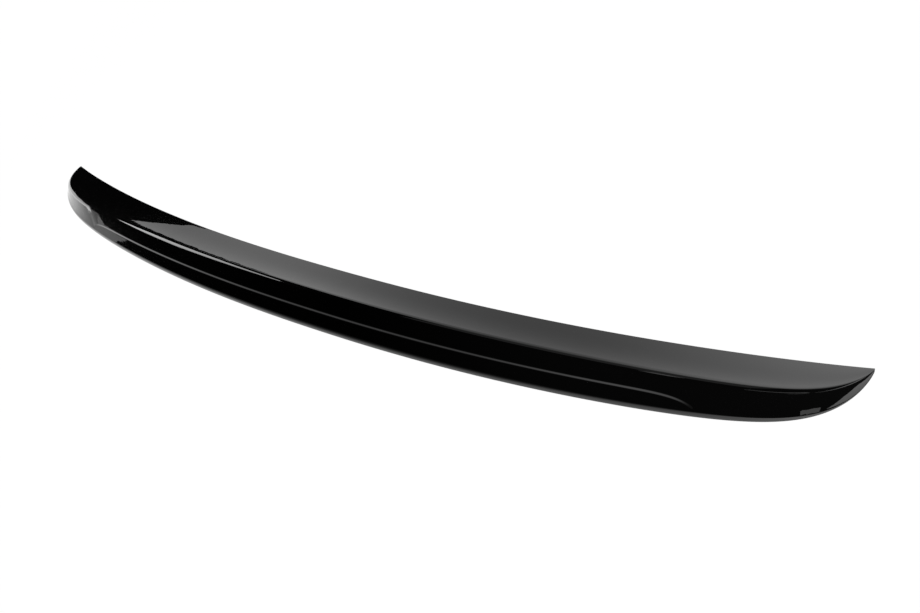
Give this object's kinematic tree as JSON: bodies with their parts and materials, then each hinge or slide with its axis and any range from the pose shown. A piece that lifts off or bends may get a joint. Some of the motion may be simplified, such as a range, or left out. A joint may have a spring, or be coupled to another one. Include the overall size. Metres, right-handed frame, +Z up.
{
  "type": "car rear spoiler",
  "caption": "Bowed lip spoiler for a car boot lid: gloss-black blade with pointed tips, a raised rear ridge, a fine ledge along the rear face and recessed lands for mounting tape below.",
  "frame": {"origin": "centre of the bounding box in plan, at the level of the tips, the lowest points in the fitted attitude", "axes": "+X across the car from tip to tip, +Y to the front of the car, +Z up, in the attitude that the spoiler has on the boot lid"},
  "size_m": [1.15, 0.148, 0.0833],
  "materials": {
    "gloss_black": "piano-black gloss under clear coat"
  },
  "bodies": {
    "root": {"rear_spoiler": "gloss_black"}
  },
  "joints": []
}
